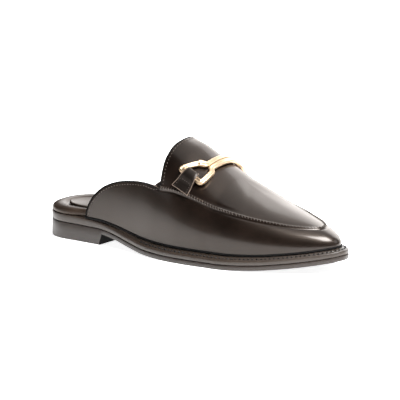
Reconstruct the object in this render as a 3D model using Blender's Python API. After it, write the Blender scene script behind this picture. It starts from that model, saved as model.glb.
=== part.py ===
"""A right-foot flat mule: a backless loafer in smooth leather, with a raised apron seam, a high
tongue and a metal bit across the vamp, held by two folded tabs.

Everything is worked out along the last: x runs from the back of the heel to the toe, y is positive
on the medial side and negative on the lateral side, z is up from the floor. One empty then sets the
shoe's origin under the middle of its heel. All sizes are in metres.
"""

import math

import bmesh
import bpy
import numpy as np

# Clearances
FIT = 0.0003

# The last
LAST_LENGTH = 0.253
BALL_WIDTH = 0.0765
INSTEP_HEIGHT = 0.0765
PIVOT_STATION = 0.66
TOE_SWING = 0.004
TOE_TAPER = {-1: 0.30, 1: 0.09}
HEEL_CAP_LENGTH = 0.026
HEEL_CAP_POWER = 2.3

# The sole
OUTSOLE_THICKNESS = 0.0038
WELT_THICKNESS = 0.0060
HEEL_LIFT = 0.0096
HEEL_LENGTH = 0.058
TOE_SPRING = 0.0078
WELT_MARGIN_REAR = 0.0032
WELT_MARGIN_FORE = 0.0085
EDGE = 0.0005
BREAST_HOLLOW = 0.003

# The insole
RIM_HEIGHT = 0.0054
INSOLE_THICKNESS = 0.0025
INSOLE_MARGIN = 0.0006
INSOLE_FORE_MARGIN = 0.0019
HEEL_RIM_SPREAD = 0.0034
HEEL_RIM_FADE = 0.014
QUARTER_CLEARANCE = 0.003

# The upper
WALL = 0.0018
QUARTER_STATION = {-1: 0.172, 1: 0.22}
QUARTER_POWER = {-1: 1.85, 1: 1.5}
SEAM_WIDTH = 0.0034
SEAM_RISE = 0.0009

LATERAL, MEDIAL = -1, 1

# Half-widths of the feather line behind the pivot, as shares of BALL_WIDTH
OUTLINE = (
    # station, lateral, medial
    (0.00, 0.352, 0.352),
    (0.08, 0.358, 0.356),
    (0.16, 0.364, 0.346),
    (0.26, 0.380, 0.318),
    (0.36, 0.420, 0.300),
    (0.46, 0.472, 0.335),
    (0.55, 0.498, 0.415),
    (0.62, 0.497, 0.474),
    (0.66, 0.484, 0.486),
)

# Height of the outsole's underside: shares of HEEL_LIFT and of TOE_SPRING
UNDERSIDE = (
    # station, heel, toe
    (0.00, 1.00, 0.00),
    (0.12, 0.97, 0.00),
    (0.22, 0.93, 0.00),
    (0.29, 0.71, 0.00),
    (0.36, 0.37, 0.00),
    (0.42, 0.14, 0.00),
    (0.50, 0.02, 0.00),
    (0.56, 0.00, 0.00),
    (0.70, 0.00, 0.00),
    (0.80, 0.00, 0.14),
    (0.90, 0.00, 0.48),
    (1.00, 0.00, 1.00),
    (1.04, 0.00, 1.28),
)

# Cross-sections of the last: the ridge's height as a share of INSTEP_HEIGHT, its lean to the medial
# side and the side's flare as shares of BALL_WIDTH, and how full the side and the top are
SECTIONS = (
    # station, ridge, lean, flare, side, top
    (0.16, 1.06, 0.02, 0.02, 0.50, 0.58),
    (0.30, 1.05, 0.03, 0.03, 0.50, 0.60),
    (0.40, 1.06, 0.04, 0.05, 0.50, 0.64),
    (0.46, 1.00, 0.04, 0.06, 0.50, 0.68),
    (0.51, 0.945, 0.05, 0.07, 0.52, 0.68),
    (0.56, 0.848, 0.06, 0.08, 0.54, 0.66),
    (0.61, 0.747, 0.07, 0.08, 0.56, 0.65),
    (0.66, 0.650, 0.07, 0.08, 0.58, 0.66),
)
TOE_SECTION = {"flare": 0.03, "side": 0.38, "top": 0.45}

# Where the apron seam lies on the way up from the feather line to the ridge
SEAM = (
    # place, level
    (0.0, 0.395),
    (0.5, 0.44),
    (1.0, 0.46),
)
SEAM_TOE_LEVEL = 0.35

# The tongue's edge: stations on the way from the notch beside it up to the ridge
TONGUE_EDGE = (
    # way up, station
    (0.00, 0.468),
    (0.12, 0.464),
    (0.35, 0.459),
    (0.60, 0.461),
    (0.85, 0.468),
    (1.00, 0.470),
)
NOTCH_STATION = TONGUE_EDGE[0][1]

# The heel pad on the insole: inset in metres and height above the insole
PAD_LENGTH = 0.118
PAD_MARGIN = 0.0092
PAD = (
    # inset, height
    (0.0006, 0.0003),
    (0.0000, 0.0008),
    (0.0003, 0.0017),
    (0.0011, 0.0020),
    (0.0019, 0.0016),
    (0.0026, 0.0013),
)

# The bit: a closed ring of bar bent into an arch of two strands with a stirrup at each end
BIT_STATION = 0.59
STRAND_WIDTH = 0.0040
BIT_THICKNESS = 0.0030
STRAND_GAP = 0.0004
ARCH_REACH = 0.0195
STIRRUP_REACH = 0.0336
STIRRUP_INNER = 0.0115
STIRRUP_OUTER = 0.0195
STIRRUP_SKEW = 0.0020
ARCH_RISE = 0.0006

# Where the arch's strands are laid out, as shares of the way from the crest to either end
ARCH_SHARES = (-0.94, -0.72, -0.48, -0.24, 0.0, 0.24, 0.48, 0.72, 0.94)

# A stirrup's bend: half-width from the inner to the outer width, and the way out from the arch
STIRRUP = (
    # widening, out
    (0.00, 0.04),
    (0.12, 0.12),
    (0.55, 0.48),
    (0.95, 0.84),
    (0.99, 0.95),
    (0.84, 1.00),
    (0.40, 1.00),
)

# The tabs
TAB_LAYER = 0.0013
TAB_TOP_WIDTH = 0.0095
TAB_FOOT_WIDTH = 0.0165
TAB_TOP_FORWARD = -0.0030
TAB_FOOT_FORWARD = -0.0008

# A tab's thickness along it: way from the wire in metres, then how high its underside and its
# outside stand, as shares of the fold's full height
FOLD = (
    # way, underside, outside
    (-0.0042, 0.42, 0.64),
    (-0.0038, 0.22, 0.84),
    (-0.0026, 0.15, 0.98),
    (0.0000, 0.15, 1.00),
    (0.0026, 0.15, 0.94),
    (0.0048, 0.15, 0.72),
    (0.0064, 0.15, 0.56),
    (0.0080, 0.15, 0.48),
    (0.0124, 0.15, 0.47),
    (0.0128, 0.19, 0.42),
)

# The insole's wrapped rim: inset in metres and height as a share of the rim's height
RIM = (
    # inset, height
    (0.0012, 0.00),
    (0.0003, 0.12),
    (0.0000, 0.35),
    (0.0003, 0.65),
    (0.0013, 0.88),
    (0.0030, 1.00),
    (0.0052, 0.96),
    (0.0070, 0.72),
)

BODY_STATIONS = 13
TOE_STATIONS = 17
WALL_LEVELS = (0.0, 0.10, 0.26, 0.44, 0.60, 0.74, 0.85, 0.93, 0.975)
PLUG_LEVELS = (0.03, 0.09, 0.19, 0.34, 0.54, 0.77, 1.0)


def column(rows, index, where):
    """The value of one column of a table at a place, on a smooth curve that never overshoots."""
    xs = np.array([row[0] for row in rows])
    ys = np.array([row[index] for row in rows])
    steps = np.diff(xs)
    rises = np.diff(ys) / steps
    slopes = np.zeros(len(xs))
    slopes[0], slopes[-1] = rises[0], rises[-1]
    for i in range(1, len(xs) - 1):
        if rises[i - 1] * rises[i] > 0:
            slopes[i] = 2 * rises[i - 1] * rises[i] / (rises[i - 1] + rises[i])
    place = min(max(where, xs[0]), xs[-1])
    i = min(int(np.searchsorted(xs, place, side="right")) - 1, len(steps) - 1)
    t = (place - xs[i]) / steps[i]
    before = (1 + 2 * t) * (1 - t) ** 2 * ys[i] + t * (1 - t) ** 2 * steps[i] * slopes[i]
    after = t * t * (3 - 2 * t) * ys[i + 1] - t * t * (1 - t) * steps[i] * slopes[i + 1]
    return before + after


def underside(x):
    """Height of the outsole's underside above the floor."""
    station = x / LAST_LENGTH
    return HEEL_LIFT * column(UNDERSIDE, 1, station) + TOE_SPRING * column(UNDERSIDE, 2, station)


def outsole_top(x):
    return underside(x) + OUTSOLE_THICKNESS


def welt_bottom(x):
    return outsole_top(x) + FIT


def welt_top(x):
    return welt_bottom(x) + WELT_THICKNESS


def heel_top(x):
    return underside(x) - FIT


def rim_height(x):
    """The insole's rim stands high round the heel and dies away under the tongue."""
    fall = min(max((x / LAST_LENGTH - 0.30) / 0.25, 0.0), 1.0)
    return RIM_HEIGHT + (INSOLE_THICKNESS - RIM_HEIGHT) * fall * fall * (3 - 2 * fall)


def insole_top(x):
    return feather_height(x) + RIM[-1][1] * rim_height(x)


def heel_ring(offset):
    """The heel's plan: the welt's line at the back, closed by a gently hollow breast."""
    rear = [HEEL_CAP_LENGTH * (1 - math.cos(math.radians(a))) for a in (10, 25, 42, 60, 76)]
    rear += list(np.linspace(HEEL_CAP_LENGTH * 1.1, HEEL_LENGTH + offset, 6))
    margin = WELT_MARGIN_REAR + offset
    sides = {side: [plan_rear(side, x, margin) for x in rear] for side in (LATERAL, MEDIAL)}
    breast = (HEEL_LENGTH + offset - BREAST_HOLLOW, 0.0)
    return [(-margin, 0.0)] + sides[LATERAL] + [breast] + sides[MEDIAL][::-1]


def feather_height(x):
    """Where the upper's lower edge and the insole sit, just clear of the welt."""
    return welt_top(x) + FIT


def half_width(side, x):
    """The feather line's distance from the axis behind the pivot, before the heel's round end."""
    return BALL_WIDTH * column(OUTLINE, 1 if side == LATERAL else 2, x / LAST_LENGTH)


def plan_rear(side, x, offset):
    """A point of the outline behind the pivot, moved out by offset."""
    width = half_width(side, x)
    cap = 1.0
    if x < HEEL_CAP_LENGTH:
        cap = (1 - (1 - x / HEEL_CAP_LENGTH) ** HEEL_CAP_POWER) ** (1 / HEEL_CAP_POWER)
    share = x / LAST_LENGTH
    return x - offset * (1 - share) ** 6, side * cap * (width + offset)


def plan_toe(side, angle, offset):
    """A point of the outline ahead of the pivot: angle is 90 degrees at the pivot, 0 at the toe."""
    pivot = PIVOT_STATION * LAST_LENGTH
    reach = LAST_LENGTH - pivot
    ahead = reach * max(math.cos(angle), 0.0)
    across = math.sin(angle) * (1 - TOE_TAPER[side] * math.cos(angle) ** 2)
    width = half_width(side, pivot)
    swing = TOE_SWING * (ahead / reach) ** 2
    bow = (ahead / reach) ** 3
    return pivot + ahead + offset * bow, side * across * (width + offset) + swing


def rim_spread(side, x):
    """How far the insole's rim widens over the welt at the open heel, behind the quarter."""
    end = QUARTER_STATION[side] * LAST_LENGTH - QUARTER_CLEARANCE
    fade = min(max((end - x) / HEEL_RIM_FADE, 0.0), 1.0)
    return HEEL_RIM_SPREAD * fade * fade * (3 - 2 * fade)


def outline(offset, fore_offset=None, spread=0.0):
    """A closed ring: the back of the heel, the lateral side, the toe, the medial side. fore_offset,
    where it is given, takes over from offset ahead of the waist. spread is the share of the rim's
    widening at the open heel."""
    fore = offset if fore_offset is None else fore_offset

    def grown(side, x):
        blend = min(max((x / LAST_LENGTH - 0.22) / 0.26, 0.0), 1.0)
        margin = offset + (fore - offset) * blend * blend * (3 - 2 * blend)
        return margin + spread * rim_spread(side, x)

    pivot = PIVOT_STATION * LAST_LENGTH
    rear = [HEEL_CAP_LENGTH * (1 - math.cos(math.radians(a))) for a in (10, 25, 42, 60, 76)]
    rear += list(np.linspace(HEEL_CAP_LENGTH * 1.1, pivot, 14)[:-1])
    angles = [math.radians(a) for a in (90, 80, 70, 60, 50, 41, 33, 25, 18, 11, 5)]
    sides = {}
    for side in (LATERAL, MEDIAL):
        sides[side] = [plan_rear(side, x, grown(side, x)) for x in rear]
        sides[side] += [plan_toe(side, a, fore) for a in angles]
    heel_point = (-grown(LATERAL, 0.0), 0.0)
    toe_point = plan_toe(LATERAL, 0.0, fore)
    return [heel_point] + sides[LATERAL] + [toe_point] + sides[MEDIAL][::-1]


def ridge_height(x):
    return feather_height(x) + INSTEP_HEIGHT * column(SECTIONS, 1, x / LAST_LENGTH)


def profile(foot, crown, slope, flare, side_fullness, top_fullness, level):
    """A point on the way from the feather line, foot, up to the ridge, crown. The way is a cubic
    curve that leaves the welt upright and arrives at the crown with the ridge's own slope."""
    foot, crown = np.array(foot), np.array(crown)
    run = foot[:2] - crown[:2]
    reach = float(np.hypot(*run))
    out = run / max(reach, 1e-9)
    drop = slope * out[0]
    radii = (reach, reach + flare, top_fullness * reach, 0.0)
    heights = (
        foot[2],
        foot[2] + side_fullness * (crown[2] - foot[2]),
        crown[2] + drop * top_fullness * reach,
        crown[2],
    )
    t = level
    weights = ((1 - t) ** 3, 3 * t * (1 - t) ** 2, 3 * t * t * (1 - t), t**3)
    radius = sum(w * r for w, r in zip(weights, radii))
    height = sum(w * h for w, h in zip(weights, heights))
    plan = crown[:2] + out * radius
    return np.array((plan[0], plan[1], height))


def body_point(side, x, level, offset):
    """A point of the last's surface behind the pivot, moved out at its foot by offset."""
    station = x / LAST_LENGTH
    _, lean, flare, side_fullness, top_fullness = (column(SECTIONS, i, station) for i in range(1, 6))
    foot = (x, side * (half_width(side, x) + offset), feather_height(x))
    crown = (x, lean * BALL_WIDTH, ridge_height(x))
    return profile(foot, crown, 0.0, flare * BALL_WIDTH, side_fullness, top_fullness, level)


def toe_point(side, angle, level, offset):
    """A point of the last's surface ahead of the pivot."""
    pivot = PIVOT_STATION * LAST_LENGTH
    _, lean, flare, side_fullness, top_fullness = (
        column(SECTIONS, i, PIVOT_STATION) for i in range(1, 6)
    )
    x, y = plan_toe(side, angle, offset)
    ahead = math.cos(angle) ** 2
    flare += (TOE_SECTION["flare"] - flare) * ahead
    side_fullness += (TOE_SECTION["side"] - side_fullness) * ahead
    top_fullness += (TOE_SECTION["top"] - top_fullness) * ahead
    step = 0.004
    slope = (ridge_height(pivot) - ridge_height(pivot - step)) / step
    foot = (x, y, feather_height(x))
    crown = (pivot, lean * BALL_WIDTH, ridge_height(pivot))
    return profile(foot, crown, slope, flare * BALL_WIDTH, side_fullness, top_fullness, level)


def seam_level(place):
    """Level of the apron seam at a place: 0 at the notch, 1 at the pivot, 2 at the toe."""
    side_level = column(SEAM, 1, min(place, 1.0))
    if place <= 1.0:
        return side_level
    turn = math.sin(math.radians(90 * (place - 1))) ** 2
    return side_level + (SEAM_TOE_LEVEL - side_level) * turn


def surface_rows(offset):
    """Rows of points over the upper, from the feather line to the ridge. Each row runs from the
    lateral back edge round the toe to the medial back edge, and says whether it is on the seam."""
    pivot = PIVOT_STATION * LAST_LENGTH
    notch = NOTCH_STATION * LAST_LENGTH

    def back_edge(part, side, share):
        if part == "wall":
            quarter = QUARTER_STATION[side] * LAST_LENGTH
            power = QUARTER_POWER[side]
            curve = 1 - (1 - share**power) ** (1 / power)
            return quarter + (notch - quarter) * curve
        if part == "plug":
            return LAST_LENGTH * column(TONGUE_EDGE, 1, share)
        return notch

    def level_at(part, share, place, speed):
        seam = seam_level(place)
        band = 0.5 * SEAM_WIDTH / speed
        if part == "wall":
            return share * (seam - 1.25 * band)
        if part == "plug":
            top = seam + 1.25 * band
            return top + share * (1 - top)
        return seam + share * band

    parts = [("wall", s) for s in WALL_LEVELS]
    parts += [("band", s) for s in (-1.0, -0.75, 0.75, 1.0)]
    parts += [("plug", s) for s in PLUG_LEVELS]
    rows = []
    for part, share in parts:
        row = []
        for side in (LATERAL, MEDIAL):
            back = back_edge(part, side, share)
            half = []
            for i in range(BODY_STATIONS):
                x = back + (pivot - back) * i / BODY_STATIONS
                place = min(max((x - notch) / (pivot - notch), 0.0), 1.0)
                half.append(lifted(body_point, side, x, part, share, place, level_at, offset))
            for i in range(TOE_STATIONS // 2 + (1 if side == LATERAL else 0)):
                turn = i / (TOE_STATIONS // 2)
                angle = math.radians(90 * (1 - turn))
                half.append(
                    lifted(toe_point, side, angle, part, share, 1 + turn, level_at, offset)
                )
            row += half if side == LATERAL else half[::-1]
        rows.append(row)
    return rows


def lifted(point_at, side, where, part, share, place, level_at, offset):
    """A point of the upper's outside, raised off the last along the seam's crest."""
    seam = seam_level(place)
    step = 0.01
    here, there = point_at(side, where, seam, offset), point_at(side, where, seam + step, offset)
    speed = float(np.linalg.norm(there - here)) / step
    level = level_at(part, share, place, speed)
    point = point_at(side, where, level, offset)
    if part == "band" and abs(share) < 1.0:
        rise = SEAM_RISE
        below = point_at(side, where, level - step, offset)
        along = (point - below) / np.linalg.norm(point - below)
        away = point - point_at(side, where, 1.0, offset)
        normal = np.array((away[0], away[1], 0.0))
        if point_at is body_point:
            normal = np.array((0.0, float(side), 0.0))
        normal /= max(np.linalg.norm(normal), 1e-9)
        normal = normal - along * float(normal @ along)
        normal /= max(np.linalg.norm(normal), 1e-9)
        point = point + normal * rise
    return point


def finish_object(name, mesh, parent, material):
    shoe_part = bpy.data.objects.new(name, mesh)
    bpy.context.scene.collection.objects.link(shoe_part)
    shoe_part.parent = parent
    mesh.materials.append(material)
    mesh.shade_smooth()
    mesh.set_sharp_from_angle(angle=math.radians(35))
    return shoe_part


def mesh_from(name, points, faces):
    """A mesh with doubled points joined and its faces turned outwards."""
    shape = bmesh.new()
    made = [shape.verts.new(p) for p in points]
    for face in faces:
        corners = []
        for index in face:
            if made[index] not in corners:
                corners.append(made[index])
        if len(corners) > 2:
            shape.faces.new(corners)
    bmesh.ops.remove_doubles(shape, verts=shape.verts, dist=1e-6)
    bmesh.ops.recalc_face_normals(shape, faces=shape.faces)
    mesh = bpy.data.meshes.new(name)
    shape.to_mesh(mesh)
    shape.free()
    return mesh


def make_upper(parent, material):
    rows = surface_rows(WALL + FIT)
    count = len(rows[0])
    points = [tuple(p) for row in rows for p in row]
    faces = []
    for j in range(len(rows) - 1):
        for i in range(count - 1):
            a = j * count + i
            faces.append((a, a + 1, a + count + 1, a + count))
    mesh = mesh_from("upper", points, faces)
    upper = finish_object("upper", mesh, parent, material)
    wall = upper.modifiers.new("wall", "SOLIDIFY")
    wall.thickness = WALL
    wall.offset = -1
    return upper


def capped(points, ring_size, loops):
    """Faces for rings of ring_size points laid one on the other, closed at both ends by strips
    between the lateral and medial points that face each other."""
    faces = []
    for loop in range(loops - 1):
        for k in range(ring_size):
            a, b = loop * ring_size + k, loop * ring_size + (k + 1) % ring_size
            faces.append((a, b, b + ring_size, a + ring_size))
    for base in (0, (loops - 1) * ring_size):
        for k in range(ring_size // 2):
            strip = [k, k + 1, (ring_size - k - 1) % ring_size, (ring_size - k) % ring_size]
            corners = list(dict.fromkeys(base + s for s in strip))
            if len(corners) > 2:
                faces.append(tuple(corners))
    return faces


def make_plate(name, loops, parent, material):
    """A flat sole piece from loops, each a ring and a function that gives its height."""
    points = []
    for ring, height in loops:
        points += [(x, y, height(x)) for x, y in ring]
    size = len(loops[0][0])
    mesh = mesh_from(name, points, capped(points, size, len(loops)))
    return finish_object(name, mesh, parent, material)


def rounded(low, high, edge):
    """Loops for a plate between two height functions, with softly broken edges."""
    rear, fore = WELT_MARGIN_REAR, WELT_MARGIN_FORE
    return [
        (outline(rear - edge, fore - edge), low),
        (outline(rear, fore), lambda x: low(x) + edge),
        (outline(rear, fore), lambda x: high(x) - edge),
        (outline(rear - edge, fore - edge), high),
    ]


def make_sole(parent, material):
    make_plate("outsole", rounded(underside, outsole_top, EDGE), parent, material)
    make_plate("welt", rounded(welt_bottom, welt_top, EDGE), parent, material)
    block = heel_ring(0.0)
    broken = heel_ring(-EDGE)
    loops = [
        (broken, lambda x: 0.0),
        (block, lambda x: EDGE),
        (block, lambda x: heel_top(x) - EDGE),
        (broken, heel_top),
    ]
    make_plate("heel", loops, parent, material)


def make_insole(parent, material):
    loops = []
    for inset, rise in RIM:
        spread = 1 - inset / RIM[-1][0]
        ring = outline(-INSOLE_MARGIN - inset, -INSOLE_FORE_MARGIN - inset, spread)
        loops.append((ring, lambda x, rise=rise: feather_height(x) + rise * rim_height(x)))
    make_plate("insole", loops, parent, material)


def make_pad(parent, material):
    cap = [math.radians(angle) for angle in (0, 15, 30, 45, 60, 75)]
    body = list(np.linspace(HEEL_CAP_LENGTH, PAD_LENGTH - 0.02, 10))
    rear = [HEEL_CAP_LENGTH * (1 - math.cos(math.radians(a))) for a in (12, 28, 45, 62, 78)] + body[:-1]

    def ring(margin):
        sides = {}
        for side in (LATERAL, MEDIAL):
            points = [plan_rear(side, x, -margin) for x in rear]
            x_turn = body[-1]
            _, y_turn = plan_rear(side, x_turn, -margin)
            reach = PAD_LENGTH - margin - x_turn
            points += [(x_turn + reach * math.sin(a), y_turn * math.cos(a)) for a in cap]
            sides[side] = points
        return [(margin, 0.0)] + sides[LATERAL] + [(PAD_LENGTH - margin, 0.0)] + sides[MEDIAL][::-1]

    loops = []
    for inset, rise in PAD:
        loops.append((ring(PAD_MARGIN + inset), lambda x, rise=rise: insole_top(x) + rise))
    make_plate("sock_pad", loops, parent, material)


def vamp_frame():
    """The crest of the vamp under the bit, and the way forward along it."""
    x = BIT_STATION * LAST_LENGTH
    step = 0.002
    offset = WALL + FIT
    crest = body_point(LATERAL, x, 1.0, offset)
    along = body_point(LATERAL, x + step, 1.0, offset) - body_point(LATERAL, x - step, 1.0, offset)
    along[1] = 0.0
    along /= np.linalg.norm(along)
    return crest, along


def flank(side, forward, reach, height):
    """A point over the vamp in the bit's own plane: forward of it, reach down the side from the
    crest, height above the leather. It comes with the way out and the way down there."""
    crest, along = vamp_frame()
    offset = WALL + FIT
    points = []
    for level in np.linspace(1.0, 0.22, 40):
        x = crest[0] + forward
        for _ in range(6):
            point = body_point(side, x, level, offset)
            x += (forward - float((point - crest) @ along)) / along[0]
        points.append(body_point(side, x, level, offset))
    points = np.array(points)
    lengths = np.concatenate(([0.0], np.cumsum(np.linalg.norm(np.diff(points, axis=0), axis=1))))
    place = np.array([np.interp(reach, lengths, points[:, k]) for k in range(3)])
    ahead = np.array([np.interp(reach + 0.002, lengths, points[:, k]) for k in range(3)])
    behind = np.array([np.interp(max(reach - 0.002, 0.0), lengths, points[:, k]) for k in range(3)])
    down = (ahead - behind) / np.linalg.norm(ahead - behind)
    out = np.cross(down, along) * -side
    out /= np.linalg.norm(out)
    return place + out * height, out, down


def wire_height():
    """How high the stirrup's outer bar runs above the leather, inside the tab's fold."""
    return FIT + TAB_LAYER + FIT + BIT_THICKNESS / 2


def bit_path():
    """The centre line of the bit and the way out at each point of it. Both follow the vamp."""
    strand = (STRAND_WIDTH + STRAND_GAP) / 2
    low = FIT + BIT_THICKNESS / 2
    centres, outs = [], []

    def add(side, forward, reach, height):
        centre, out, _ = flank(side, forward, reach, height)
        centres.append(centre)
        outs.append(out)

    for direction in (1, -1):
        for share in ARCH_SHARES[::direction]:
            side = MEDIAL if share > 0 else LATERAL
            height = low + ARCH_RISE * (1 - share * share)
            add(side, strand * direction, abs(share) * ARCH_REACH, height)
        side = MEDIAL if direction == 1 else LATERAL
        bend = [(1, *row) for row in STIRRUP] + [(-1, *row) for row in STIRRUP[::-1]]
        for turn, widening, way in bend:
            half = (STIRRUP_INNER + (STIRRUP_OUTER - STIRRUP_INNER) * widening) / 2
            reach = ARCH_REACH + (STIRRUP_REACH - ARCH_REACH) * way
            height = low + (wire_height() - low) * way
            add(side, direction * turn * half - STIRRUP_SKEW * way, reach, height)
    return centres, outs


def softened(values):
    """Cuts the corners of a closed row of points."""
    cut = []
    for k, here in enumerate(values):
        after = values[(k + 1) % len(values)]
        cut += [0.75 * here + 0.25 * after, 0.25 * here + 0.75 * after]
    return cut


def make_bit(parent, material):
    centres, outs = bit_path()
    centres, outs = softened(centres), softened(outs)
    wide, thick = STRAND_WIDTH / 2, BIT_THICKNESS / 2
    cut = 0.3 * thick
    section = [
        (wide, -thick + cut), (wide, thick - cut), (wide - cut, thick), (-wide + cut, thick),
        (-wide, thick - cut), (-wide, -thick + cut), (-wide + cut, -thick), (wide - cut, -thick),
    ]
    points = []
    for k, centre in enumerate(centres):
        tangent = centres[(k + 1) % len(centres)] - centres[k - 1]
        tangent /= np.linalg.norm(tangent)
        out = outs[k] - tangent * float(outs[k] @ tangent)
        out /= np.linalg.norm(out)
        across = np.cross(tangent, out)
        points += [tuple(centre + across * u + out * v) for u, v in section]
    size = len(section)
    faces = []
    for k in range(len(centres)):
        here, there = k * size, (k + 1) % len(centres) * size
        faces += [
            (here + j, here + (j + 1) % size, there + (j + 1) % size, there + j) for j in range(size)
        ]
    return finish_object("bit", mesh_from("bit", points, faces), parent, material)


def make_tab(name, side, parent, material):
    _, along = vamp_frame()
    full = wire_height() + BIT_THICKNESS / 2 + FIT + TAB_LAYER
    points = []
    columns = 7
    for way, underside_share, outside_share in FOLD:
        progress = (way - FOLD[0][0]) / (FOLD[-1][0] - FOLD[0][0])
        half = 0.5 * (TAB_TOP_WIDTH + (TAB_FOOT_WIDTH - TAB_TOP_WIDTH) * progress)
        for share in (underside_share, outside_share):
            for i in range(columns):
                middle = TAB_TOP_FORWARD + (TAB_FOOT_FORWARD - TAB_TOP_FORWARD) * progress
                forward = middle + half * (2 * i / (columns - 1) - 1)
                height = FIT + (full - FIT) * share
                points.append(tuple(flank(side, forward, STIRRUP_REACH + way, height)[0]))
    faces = []
    rows = len(FOLD)
    for r in range(rows - 1):
        low, high = 2 * r * columns, (2 * r + 1) * columns
        low_next, high_next = low + 2 * columns, high + 2 * columns
        for i in range(columns - 1):
            faces.append((low + i, low_next + i, low_next + i + 1, low + i + 1))
            faces.append((high + i, high + i + 1, high_next + i + 1, high_next + i))
        for i in (0, columns - 1):
            faces.append((low + i, high + i, high_next + i, low_next + i))
    for r in (0, rows - 1):
        low, high = 2 * r * columns, (2 * r + 1) * columns
        for i in range(columns - 1):
            faces.append((low + i, low + i + 1, high + i + 1, high + i))
    tab = finish_object(name, mesh_from(name, points, faces), parent, material)

    wide, thick = STRAND_WIDTH / 2 + FIT, BIT_THICKNESS / 2 + FIT
    corners, sides = [], []
    stops = np.linspace(-TAB_FOOT_WIDTH, TAB_FOOT_WIDTH, 9)
    for k, stop in enumerate(stops):
        wire, out, _ = flank(side, stop - STIRRUP_SKEW, STIRRUP_REACH, wire_height())
        across = np.cross(along, out)
        for u, v in ((-wide, -thick), (wide, -thick), (wide, thick), (-wide, thick)):
            corners.append(tuple(wire + across * u + out * v))
        if k:
            base = 4 * (k - 1)
            sides += [(base + j, base + (j + 1) % 4, base + 4 + (j + 1) % 4, base + 4 + j) for j in range(4)]
    last = 4 * (len(stops) - 1)
    sides += [(0, 1, 2, 3), (last, last + 1, last + 2, last + 3)]
    hole = finish_object(name + "_hole", mesh_from(name + "_hole", corners, sides), parent, material)
    hole.hide_render = True
    hole.display_type = "WIRE"
    cut = tab.modifiers.new("hole", "BOOLEAN")
    cut.operation = "DIFFERENCE"
    cut.solver = "EXACT"
    cut.object = hole
    return tab


def plain_material(name, colour, roughness, metallic=0.0):
    material = bpy.data.materials.new(name)
    material.use_nodes = True
    shader = material.node_tree.nodes["Principled BSDF"]
    shader.inputs["Base Color"].default_value = (*colour, 1.0)
    shader.inputs["Roughness"].default_value = roughness
    shader.inputs["Metallic"].default_value = metallic
    return material


def main():
    for old in list(bpy.data.objects):
        bpy.data.objects.remove(old)
    leather = plain_material("black_leather", (0.030, 0.025, 0.023), 0.35)
    rubber = plain_material("black_rubber", (0.045, 0.038, 0.034), 0.5)
    shoe = bpy.data.objects.new("shoe", None)
    bpy.context.scene.collection.objects.link(shoe)
    shoe.location = (-HEEL_LENGTH / 2, 0.0, 0.0)
    make_upper(shoe, leather)
    make_sole(shoe, rubber)
    make_insole(shoe, leather)
    make_pad(shoe, leather)
    gold = plain_material("gold_brass", (0.90, 0.72, 0.46), 0.22, 1.0)
    make_bit(shoe, gold)
    make_tab("tab_lateral", LATERAL, shoe, leather)
    make_tab("tab_medial", MEDIAL, shoe, leather)


main()
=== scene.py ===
# %% [markdown]
# # A flat mule, dressed over its CAD frame
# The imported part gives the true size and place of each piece. This script keeps that frame and
# lays the finished surfaces over it: the lasted leather, the seams, the welt, the metal bit.
# Everything is in metres, with the floor at z = 0 and the toe towards +X.

import math
from functools import lru_cache

import bmesh
import bpy
import numpy as np
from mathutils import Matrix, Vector
from mathutils.bvhtree import BVHTree


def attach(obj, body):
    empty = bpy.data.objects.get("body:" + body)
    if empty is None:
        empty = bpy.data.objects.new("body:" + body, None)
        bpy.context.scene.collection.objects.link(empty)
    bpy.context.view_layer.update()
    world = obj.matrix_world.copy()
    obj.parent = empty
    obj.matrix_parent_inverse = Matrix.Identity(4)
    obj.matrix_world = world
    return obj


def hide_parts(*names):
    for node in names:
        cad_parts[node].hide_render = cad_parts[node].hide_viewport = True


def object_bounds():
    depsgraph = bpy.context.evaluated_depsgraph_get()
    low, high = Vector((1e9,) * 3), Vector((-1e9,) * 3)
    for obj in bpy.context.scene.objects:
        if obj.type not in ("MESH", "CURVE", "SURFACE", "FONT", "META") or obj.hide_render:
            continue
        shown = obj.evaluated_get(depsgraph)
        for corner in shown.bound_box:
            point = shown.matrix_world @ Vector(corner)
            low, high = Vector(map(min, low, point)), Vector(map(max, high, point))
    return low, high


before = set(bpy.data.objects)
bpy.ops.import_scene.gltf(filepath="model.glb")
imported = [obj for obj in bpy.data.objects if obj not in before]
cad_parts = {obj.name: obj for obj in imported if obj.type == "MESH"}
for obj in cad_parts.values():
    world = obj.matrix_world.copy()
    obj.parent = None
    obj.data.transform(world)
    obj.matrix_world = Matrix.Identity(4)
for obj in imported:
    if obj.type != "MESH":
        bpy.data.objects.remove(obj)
cad_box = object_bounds()
print("CAD box:", cad_box)

# %% [markdown]
# ## The sizes that drive the shoe
# A shoemaker starts from a last: its length, the width across the ball and the height of the
# instep. The same values and tables as the CAD source are repeated here, so that each dressed
# surface lies on its solid.

# %% Sizes of the last, the sole and the upper
# Clearances
FIT = 0.0003

# The last
LAST_LENGTH = 0.253
BALL_WIDTH = 0.0765
INSTEP_HEIGHT = 0.0765
PIVOT_STATION = 0.66
TOE_SWING = 0.004
TOE_TAPER = {-1: 0.30, 1: 0.09}
HEEL_CAP_LENGTH = 0.026
HEEL_CAP_POWER = 2.3

# The sole
OUTSOLE_THICKNESS = 0.0038
WELT_THICKNESS = 0.0060
HEEL_LIFT = 0.0096
HEEL_LENGTH = 0.058
TOE_SPRING = 0.0078
WELT_MARGIN_REAR = 0.0032
WELT_MARGIN_FORE = 0.0085

# The insole
RIM_HEIGHT = 0.0054
INSOLE_THICKNESS = 0.0025
INSOLE_MARGIN = 0.0006
INSOLE_FORE_MARGIN = 0.0019
HEEL_RIM_SPREAD = 0.0034
HEEL_RIM_FADE = 0.014
QUARTER_CLEARANCE = 0.003

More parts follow.
